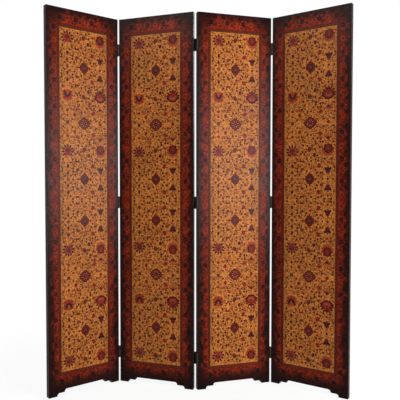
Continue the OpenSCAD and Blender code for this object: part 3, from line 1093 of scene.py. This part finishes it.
leatherLook = {  # for noises see patches
    "gloss": 0.066, "rough": ((22.0, 5.0, 0.6), (0.3, 0.7, 0.22, 0.36)),
    # valley: share of painted shade in the grain's valleys
    "grain": {"Pebbles": 620.0, "Creases": 0.35}, "deep": 0.00009, "valley": 0.2,
    "tone": {"Scale": 7.0, "Contrast": 0.28},
    "darkWearAndShade": (13, 3, 1),  # where the edges are rubbed dark, and the painted shade round the rim, at the corners, near the floor and in the grain
    "ember": (168, 48, 14),  # lighter clouds of the border
    "clouds": ((46.0, 7.0, 0.74, 0.6), (0.46, 0.64, 0.0, 0.66)),
    "onFlorets": (0.05, 0.13, 0.15, 1.0),  # the clouds leave out what is printed darker than this
    "smoke": ((38.0, 8.0, 0.78, 0.8), (0.48, 0.68, 0.0, 0.66)),  # darker ones
    "onGround": (0.32, 0.39),  # printed red of the ground, the lightest ink
    "stain": (96, 45, 13),  # brown wear in the ground
    "specks": ((95.0, 4.0, 0.62, 0.4), (0.47, 0.62, 0.0, 0.66)),
    "faded": (200, 138, 84),  # and where it is rubbed pale
    "flecks": ((150.0, 3.0, 0.6), (0.5, 0.64, 0.0, 0.4)),
    "reach": (0.2, 1.0, 0.055, 0.032),  # dark rim, its width at those heights; rubbed dark, and wider near the floor as painted shade
    "ragged": 1.0, "rimShade": 0.92,
    # painted shade: darker in a wide band in from the page's rim
    "wide": {"Reach": 0.12, "Ragged": 0.5}, "wideShade": 0.5,
    "corner": (0.04, 0.125, 0.85, 0.0),  # painted shade at the corners, from full to none, metres from the corner
    "foot": (0.035, 0.12, 0.9, 0.0),  # and painted shade near the floor, from full to none, metres from the floor
    "blend": 0.003,  # where the border ends, out to its guard
    "side": border["guard"][0] / mm, "below": (pageHeight - border["guard"][3]) / mm,
    "above": (pageHeight - border["guard"][1]) / mm,
}


def printedLeather():
    look = leatherLook
    material, tree, spot = newMaterial("printedLeather")
    printed = newNode(tree, "ShaderNodeVertexColor", {"layer_name": "print"}).outputs["Color"]
    sheet = newNode(tree, "ShaderNodeUVMap", {"uv_map": "page"}).outputs["UV"]
    level = firstOutput(tree, "ShaderNodeSeparateColor", None, {0: printed})
    up = partsOf(tree, sheet)["Y"]
    grain = placeGroup(tree, "grain", spot, **look["grain"])
    tone = placeGroup(tree, "tone", spot, **look["tone"])["Tone"]
    # rim width grows towards the floor, painted shade over the rubbed-dark edge
    reach = ranged(tree, up, *look["reach"])
    rim = placeGroup(tree, "rimWearAndShade", sheet, Reach=reach, Ragged=look["ragged"])
    # mask of the painted shade in a wide band round the rim
    wide = placeGroup(tree, "rimWearAndShade", sheet, **look["wide"])["Inside"]
    # one dark ink for the rubbed-dark rim and clouds and for all the painted shade below
    darkWearAndShade, blend = ink(*look["darkWearAndShade"]), look["blend"]

    def line(value, place, inner, outer):
        return ranged(tree, value, place - blend, place + blend, inner, outer)

    onEnds = calc(tree, "MAXIMUM", line(up, look["below"], 1.0, 0.0), line(up, look["above"], 0.0, 1.0))
    onBorder = calc(tree, "MAXIMUM", line(rim["Distance"], look["side"], 1.0, 0.0), onEnds)
    onRed = times(tree, onBorder, ranged(tree, level, *look["onFlorets"]))
    onGround = ranged(tree, level, *look["onGround"])
    # masks of the painted shade at the corners and near the floor
    corners, feet = ranged(tree, rim["Corner"], *look["corner"]), ranged(tree, up, *look["foot"])
    color = toned(tree, printed, tone)
    for mask, over in (  # one over the other: rubbed wear and clouds first, then painted shade
        (times(tree, onGround, patches(tree, spot, look["flecks"])), ink(*look["faded"])),
        (times(tree, onGround, patches(tree, spot, look["specks"])), ink(*look["stain"])),
        (times(tree, onRed, patches(tree, spot, look["clouds"])), ink(*look["ember"])),
        (times(tree, onBorder, patches(tree, spot, look["smoke"])), darkWearAndShade),
        # painted shade in the grain's valleys
        (times(tree, grain["Valley"], look["valley"]), darkWearAndShade),
        # painted shade in a wide band round the rim
        (ranged(tree, wide, 0.0, 1.0, look["wideShade"], 0.0), darkWearAndShade),
        # painted shade on the border at the corners and near the floor
        (times(tree, onBorder, calc(tree, "MAXIMUM", corners, feet)), darkWearAndShade),
        # rubbed-dark rim, partly painted shade where it widens near the floor
        (ranged(tree, rim["Inside"], 0.0, 1.0, look["rimShade"], 0.0), darkWearAndShade),
    ):
        color = mixed(tree, mask, color, over)
    rough = patches(tree, spot, look["rough"])
    shader = dress(material, color, rough, grain["Height"], 1.0, look["deep"])
    shader["Specular IOR Level"].default_value = look["gloss"]
    return material


bandLook = {
    "gloss": 0.12, "rough": (0.42, 0.62), "grain": {"Pebbles": 700.0, "Creases": 0.3}, "deep": 0.00014,
    "tone": {"Scale": 11.0, "Contrast": 0.6}, "toneCut": (0.8, 1.3, 0.0, 0.7),
    "dark": (14, 9, 8), "brown": (44, 20, 14), "rubbed": (86, 40, 26), "rub": 0.6,
    "wear": {"Edge": 0.53, "Scale": 60.0},
}


def darkLeather():
    # edge bands, near black with brown where hands and floors rubbed them
    look = bandLook
    material, tree, spot = newMaterial("darkLeather")
    grain = placeGroup(tree, "grain", spot, **look["grain"])
    tone = placeGroup(tree, "tone", spot, **look["tone"])["Tone"]
    worn = placeGroup(tree, "wear", spot, **look["wear"])["Worn"]
    base = mixed(tree, ranged(tree, tone, *look["toneCut"]), ink(*look["dark"]), ink(*look["brown"]))
    rubbed = mixed(tree, times(tree, worn, look["rub"]), base, ink(*look["rubbed"]))
    rough = ranged(tree, grain["Valley"], 0.0, 1.0, *look["rough"])
    shader = dress(material, rubbed, rough, grain["Height"], 1.0, look["deep"])
    shader["Specular IOR Level"].default_value = look["gloss"]
    return material


hingeLook = {
    "gloss": 0.22, "lacquer": (13, 12, 11), "bare": (96, 88, 80), "metal": 0.9,
    "wear": {"Edge": 0.515, "Scale": 240.0}, "peel": (900.0, 3.0, 0.5),
    "rough": (0.3, 0.7, 0.42, 0.58), "bump": (0.5, 0.00008),
    "scratches": ((1.0, 3.0, 0.6), (0.62, 0.7, 0.0, 0.35)), "scratchScale": (30.0, 30.0, 900.0),
}


def blackLacquer():
    # stove enamel on steel, bare at the rubbed arrises
    look = hingeLook
    material, tree, spot = newMaterial("blackLacquer")
    worn = placeGroup(tree, "wear", spot, **look["wear"])["Worn"]
    scratches = patches(tree, mapped(tree, spot, Scale=look["scratchScale"]), look["scratches"])
    bare = calc(tree, "MAXIMUM", worn, scratches)
    peel = noise(tree, spot, *look["peel"])
    color = mixed(tree, bare, ink(*look["lacquer"]), ink(*look["bare"]))
    shader = dress(material, color, ranged(tree, peel, *look["rough"]), peel, *look["bump"])
    tree.links.new(times(tree, bare, look["metal"]), shader["Metallic"])
    shader["Specular IOR Level"].default_value = look["gloss"]
    return material


steelLook = {
    "turned": (40.0, 40.0, 2400.0), "lines": (1.0, 4.0, 0.6), "bump": (0.4, 0.00004),
    "oil": ((120.0, 4.0, 0.6), (0.35, 0.65, 0.0, 1.0)), "oilShade": 0.45,
    "lineCut": (0.3, 0.7), "smoother": 0.08, "rougher": 0.12,
}


def steel(name, color, rough):
    look = steelLook
    material, tree, spot = newMaterial(name)
    lines = noise(tree, mapped(tree, spot, Scale=look["turned"]), *look["lines"])
    oily = ink(*[level * look["oilShade"] for level in color])
    base = mixed(tree, patches(tree, spot, look["oil"]), ink(*color), oily)
    turned = ranged(tree, lines, *look["lineCut"], rough - look["smoother"], rough + look["rougher"])
    shader = dress(material, base, turned, lines, *look["bump"])
    shader["Metallic"].default_value = 1.0
    return material


woodLook = {
    "knots": ((9.0, 4.0, 0.6), (0.62, 0.75, 0.0, 0.5)), "knotShade": 0.6,
    "fibre": (0.35, 0.65, 0.0, 0.25), "rough": (0.62, 0.5), "bump": (0.6, 0.0002),
    # early wood, late wood and rings
    "upright": ((196, 150, 96), (150, 98, 52), 70.0),
    "level": ((200, 154, 100), (152, 100, 54), 70.0),
    "stained": ((30, 13, 9), (15, 7, 5), 70.0),  # it shows under the feet
    "dowel": ((190, 142, 100), (160, 108, 72), 160.0),
}


def wood(name, kind, turn=(0.0, 0.0, 0.0)):
    look = woodLook
    early, late, rings = look[kind]
    material, tree, spot = newMaterial(name)
    laid = mapped(tree, spot, Rotation=turn)
    grain = placeGroup(tree, "wood", laid, Rings=rings)
    base = mixed(tree, grain["Ring"], ink(*early), ink(*late))
    knot = ink(*[level * look["knotShade"] for level in late])
    knotty = mixed(tree, patches(tree, laid, look["knots"]), base, knot)
    fibred = mixed(tree, ranged(tree, grain["Fibre"], *look["fibre"]), knotty, ink(*late))
    rough = ranged(tree, grain["Ring"], 0.0, 1.0, *look["rough"])
    dress(material, fibred, rough, grain["Fibre"], *look["bump"])
    return material


boardLook = {
    "tone": {"Scale": 12.0, "Contrast": 0.25}, "fibre": (112, 78, 50), "fleck": (74, 48, 30),
    "flecks": ((700.0, 4.0, 0.7), (0.45, 0.6, 0.0, 1.0)), "rough": (0.5, 0.68), "bump": (0.4, 0.0001),
}


def hardboard():
    # pressed fibre, smooth brown with flecks
    look = boardLook
    material, tree, spot = newMaterial("hardboard")
    tone = placeGroup(tree, "tone", spot, **look["tone"])["Tone"]
    fleck = patches(tree, spot, look["flecks"])
    color = toned(tree, mixed(tree, fleck, ink(*look["fibre"]), ink(*look["fleck"])), tone)
    dress(material, color, ranged(tree, fleck, 0.0, 1.0, *look["rough"]), fleck, *look["bump"])
    return material


materials = {
    "cover": printedLeather(),
    "edge": darkLeather(),
    "hinge": blackLacquer(),
    "pin": steel("pinSteel", (120, 116, 112), 0.34),
    "screw": steel("blackenedScrew", (70, 68, 66), 0.42),
    "upright": wood("pineUpright", "upright"),
    "dowel": wood("beechDowel", "dowel", (0.0, math.pi / 2, 0.0)),
    "board": hardboard(),
}
print("materials built")


# Printed covers, both sides of each panel
def addCovers():
    for number in numbers:
        for side in ("front", "back"):
            cover = makeCover(number, side)
            cover.data.materials.append(materials["cover"])
            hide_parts(f"{side}_cover_{number}")
            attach(cover, f"panel_{number}")
    print("covers made")


# Hinge screws, one Geometry Nodes tree for all of them
screwLook = {
    "sides": 20, "seed": 7, "overlap": 0.00005,
    "point": 0.1,  # share of the shank's radius
    "tip": 0.2,  # share of the length
    # shares of the head's radius
    "shares": {"Head Depth": 0.42, "Recess Width": 0.24, "Recess Span": 1.2, "Recess Depth": 0.3},
}


def screwTree():
    tree = bpy.data.node_groups.new("woodScrews", "GeometryNodeTree")
    tree.interface.new_socket("Geometry", in_out="INPUT", socket_type="NodeSocketGeometry")
    for name in ("Head Radius", "Shank Radius", "Length", "Tip", *screwLook["shares"]):
        tree.interface.new_socket(name, in_out="INPUT", socket_type="NodeSocketFloat")
    tree.interface.new_socket("Finish", in_out="INPUT", socket_type="NodeSocketMaterial")
    tree.interface.new_socket("Geometry", in_out="OUTPUT", socket_type="NodeSocketGeometry")
    given = tree.nodes.new("NodeGroupInput").outputs
    out = tree.nodes.new("NodeGroupOutput").inputs

    def turnedPart(bottom, top, depth):
        inputs = {"Vertices": screwLook["sides"], "Depth": depth}
        inputs |= {"Radius Bottom": bottom, "Radius Top": top}
        return newNode(tree, "GeometryNodeMeshCone", {"fill_type": "NGON"}, inputs).outputs["Mesh"]

    wide, thin = given["Head Radius"], given["Shank Radius"]
    body = minus(tree, given["Length"], given["Tip"])
    head = turnedPart(wide, thin, given["Head Depth"])
    shank = turnedPart(thin, thin, body)
    point = turnedPart(thin, times(tree, thin, screwLook["point"]), given["Tip"])
    lift = vectorOf(tree, Z=minus(tree, body, screwLook["overlap"]))
    point = firstOutput(tree, "GeometryNodeTransform", None, {"Geometry": point, "Translation": lift})
    whole = newNode(tree, "GeometryNodeMeshBoolean", {"operation": "UNION", "solver": "EXACT"})
    for part in (point, shank, head):
        tree.links.new(part, whole.inputs["Mesh 2"])
    recess = newNode(tree, "GeometryNodeMeshBoolean", {"operation": "DIFFERENCE", "solver": "EXACT"},
                     {"Mesh 1": whole.outputs[0]})
    deep = times(tree, given["Recess Depth"], 2.0)
    span, width = given["Recess Span"], given["Recess Width"]
    for x, y in ((span, width), (width, span)):
        size = {"Size": vectorOf(tree, X=x, Y=y, Z=deep)}
        tree.links.new(firstOutput(tree, "GeometryNodeMeshCube", None, size), recess.inputs["Mesh 2"])
    inward = firstOutput(tree, "GeometryNodeInputNamedAttribute", {"data_type": "FLOAT_VECTOR"},
                         {"Name": "inward"})
    spin = newNode(tree, "FunctionNodeRandomValue", {"data_type": "FLOAT"},
                   {2: 0.0, 3: math.pi, "Seed": screwLook["seed"]}).outputs[1]
    spun = firstOutput(tree, "FunctionNodeAxisAngleToRotation", None, {"Axis": (0, 0, 1), "Angle": spin})
    aimed = firstOutput(tree, "FunctionNodeAlignRotationToVector", {"axis": "Z"},
                        {"Rotation": spun, "Vector": inward})
    copies = firstOutput(tree, "GeometryNodeInstanceOnPoints", None, {
        "Points": given["Geometry"], "Instance": recess.outputs[0], "Rotation": aimed})
    real = firstOutput(tree, "GeometryNodeRealizeInstances", None, {"Geometry": copies})
    finish = {"Geometry": real, "Material": given["Finish"]}
    tree.links.new(firstOutput(tree, "GeometryNodeSetMaterial", None, finish), out["Geometry"])
    return tree


def screwSpots(number):
    # head middle and direction of each screw, and the sizes of one, from the CAD screws
    pose = poses[number][0]
    copy = bmesh.new()
    copy.from_mesh(nodes[f"hinge_screws_{number}"].data)
    bmesh.ops.remove_doubles(copy, verts=copy.verts, dist=1e-6)
    seen, heads, sizes = set(), [], {}
    for first in copy.verts:
        if first in seen:
            continue
        group, edge = set(), {first}
        while edge:
            vertex = edge.pop()
            group.add(vertex)
            near = {e.other_vert(vertex) for e in vertex.link_edges}
            edge |= near - group
        seen |= group
        local = [pose.inverted() @ v.co for v in group]
        low, high = (Vector([reach(axis) for axis in zip(*local)]) for reach in (min, max))
        middle = (low + high) / 2
        ends = (low.x, high.x)
        radius = [max(math.dist(p.yz, middle.yz) for p in local if abs(p.x - x) < hair) for x in ends]
        outer = 0 if radius[0] > radius[1] else 1
        middle.x = ends[outer]
        heads.append((pose @ middle, pose.to_3x3() @ Vector((1 - 2 * outer, 0, 0))))
        sizes = {"Head Radius": max(radius), "Shank Radius": min(radius), "Length": ends[1] - ends[0]}
    copy.free()
    for name, share in screwLook["shares"].items():
        sizes[name] = sizes["Head Radius"] * share
    return heads, {**sizes, "Tip": sizes["Length"] * screwLook["tip"], "Finish": materials["screw"]}


def addScrews():
    tree = screwTree()
    sockets = {item.name: item.identifier for item in tree.interface.items_tree}
    for number in numbers:
        heads, sizes = screwSpots(number)
        mesh = bpy.data.meshes.new(f"screws_{number}")
        mesh.from_pydata([place for place, way in heads], [], [])
        inward = mesh.attributes.new("inward", "FLOAT_VECTOR", "POINT")
        inward.data.foreach_set("vector", [c for place, way in heads for c in way])
        screws = bpy.data.objects.new(f"leaf_screws_{number}", mesh)
        bpy.context.scene.collection.objects.link(screws)
        modifier = screws.modifiers.new("woodScrews", "NODES")
        modifier.node_group = tree
        for name, value in sizes.items():
            modifier[sockets[name]] = value
        bpy.context.view_layer.update()
        evaluated = screws.evaluated_get(bpy.context.evaluated_depsgraph_get())
        solid = bpy.data.meshes.new_from_object(evaluated)
        screws.modifiers.remove(modifier)
        screws.data = solid
        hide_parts(f"hinge_screws_{number}")
        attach(screws, f"panel_{number}")
        print("screws", number, len(heads), "made,", len(solid.polygons), "faces")


# Finishes of the CAD pieces that stay
softEdges = {"weld": 1e-6, "angle": math.radians(35), "band": 0.00025, "hinge": 0.00022, "wood": 0.0006}


def finishNode(name, material, width=None):
    piece = nodes[name]
    piece.data.materials.clear()
    piece.data.materials.append(material)
    weld = piece.modifiers.new("weld", "WELD")
    weld.merge_threshold = softEdges["weld"]
    if width:
        bevel = piece.modifiers.new("arris", "BEVEL")
        bevel.width = width
        bevel.segments = 2
        bevel.limit_method = "ANGLE"
        bevel.angle_limit = softEdges["angle"]
        bevel.harden_normals = False


def finishFrame():
    for number in numbers:
        laid = (0.0, math.pi / 2, -poses[number][2])
        level = wood(f"pineLevel_{number}", "level", laid)
        stained = wood(f"stainedPine_{number}", "stained", laid)
        for name in ("left_stile", "right_stile"):
            finishNode(f"{name}_{number}", materials["upright"], softEdges["wood"])
        for name in ("top_rail", "mid_rail"):
            finishNode(f"{name}_{number}", level, softEdges["wood"])
        finishNode(f"bottom_rail_{number}", stained, softEdges["wood"])
        finishNode(f"frame_dowels_{number}", materials["dowel"], softEdges["band"])
        finishNode(f"front_board_{number}", materials["board"])
        finishNode(f"back_board_{number}", materials["board"])
        finishNode(f"edge_band_{number}", materials["edge"], softEdges["band"])
    for joint in joints:
        for name in ("left_hinge_leaves", "right_hinge_leaves", "hinge_links"):
            finishNode(f"{name}_{joint}", materials["hinge"], softEdges["hinge"])
        finishNode(f"hinge_pins_{joint}", materials["pin"], softEdges["hinge"])
    print("frame finished")


# Camera, lamps and floor
camera = {
    "place": (-0.155, -2.554, 0.981), "down": 1.85, "roll": 0.08,
    "lens": 48.1, "sensor": 36, "shift": (0.09, 0.0078),
}
lamps = {
    "right": {"place": (2.35, -1.3, 1.25), "aim": (-0.5, 0.0, 1.0), "size": (0.8, 1.3), "power": 49.0},
    "front": {"place": (2.1, -2.45, 1.2), "aim": (0.2, 0.0, 1.0), "size": (0.8, 1.2), "power": 46.0},
    "high": {"place": (-1.7, -2.4, 3.2), "aim": (0.0, 0.0, 1.0), "size": (1.6, 1.2), "power": 45.0},
    "overhead": {"place": (0.0, -0.5, 3.4), "aim": (0.0, -0.4, 0.0), "size": (3.4, 2.4), "power": 26.0},
    "behind": {"place": (1.4, 2.9, 2.5), "aim": (0.0, 0.0, 0.9), "size": (2.0, 1.6), "power": 62.0},
}
studio = {
    "world": 0.3, "white": (1, 1, 1, 1),
    "floorSize": 14.0, "floor": (0.86, 0.86, 0.86, 1), "floorRough": 0.9,
    "floorShade": 0.14, "shadeReach": (0.7, 1.8),  # the floor's own shade close by, then plain white
}


def addObject(name, data):
    made = bpy.data.objects.new(name, data)
    bpy.context.scene.collection.objects.link(made)
    return made


def addCamera():
    data = bpy.data.cameras.new("camera")
    data.lens = camera["lens"]
    data.sensor_width = camera["sensor"]
    data.shift_x, data.shift_y = camera["shift"]
    data.dof.use_dof = False
    view = addObject("camera", data)
    view.location = camera["place"]
    view.rotation_euler = (math.radians(90 - camera["down"]), math.radians(camera["roll"]), 0)
    bpy.context.scene.camera = view


def addLamps():
    for name, look in lamps.items():
        data = bpy.data.lights.new(name, "AREA")
        data.shape = "RECTANGLE"
        data.size, data.size_y = look["size"]
        data.energy = look["power"]
        lamp = addObject(name, data)
        lamp.location = look["place"]
        aim = Vector(look["aim"]) - Vector(look["place"])
        lamp.rotation_euler = aim.to_track_quat("-Z", "Y").to_matrix().to_euler()


def seenRays(tree):
    # 1 for what the camera, mirrors and glass see
    path = newNode(tree, "ShaderNodeLightPath").outputs
    mirrors = calc(tree, "MAXIMUM", path["Is Glossy Ray"], path["Is Transmission Ray"])
    return calc(tree, "MAXIMUM", path["Is Camera Ray"], mirrors)


def addWorld():
    world = bpy.data.worlds.new("studio")
    bpy.context.scene.world = world
    world.use_nodes = True
    tree = world.node_tree
    sky = tree.nodes["Background"].inputs
    sky["Color"].default_value = studio["white"]
    levels = {"Value": seenRays(tree), "To Min": studio["world"]}
    tree.links.new(firstOutput(tree, "ShaderNodeMapRange", None, levels), sky["Strength"])


def addFloor():
    half = studio["floorSize"] / 2
    mesh = bpy.data.meshes.new("floor")
    corners = [(-half, -half, 0), (half, -half, 0), (half, half, 0), (-half, half, 0)]
    mesh.from_pydata(corners, [], [(0, 1, 2, 3)])
    floor = addObject("floor", mesh)
    paper, tree, spot = newMaterial("paleFloor")
    shader = tree.nodes["Principled BSDF"]
    shader.inputs["Base Color"].default_value = studio["floor"]
    shader.inputs["Roughness"].default_value = studio["floorRough"]
    glow = firstOutput(tree, "ShaderNodeEmission", None, {"Color": studio["white"], "Strength": 1.0})
    clear = ranged(tree, lengthOf(tree, spot), *studio["shadeReach"], 1 - studio["floorShade"], 1.0)
    white = times(tree, seenRays(tree), clear)
    both = firstOutput(tree, "ShaderNodeMixShader", None, {0: white, 1: shader.outputs[0], 2: glow})
    tree.links.new(both, tree.nodes["Material Output"].inputs["Surface"])
    mesh.materials.append(paper)


addCamera()
addLamps()
addWorld()
addFloor()
print("studio set")
addCovers()
addScrews()
finishFrame()
bpy.context.scene.view_settings.view_transform = "Standard"
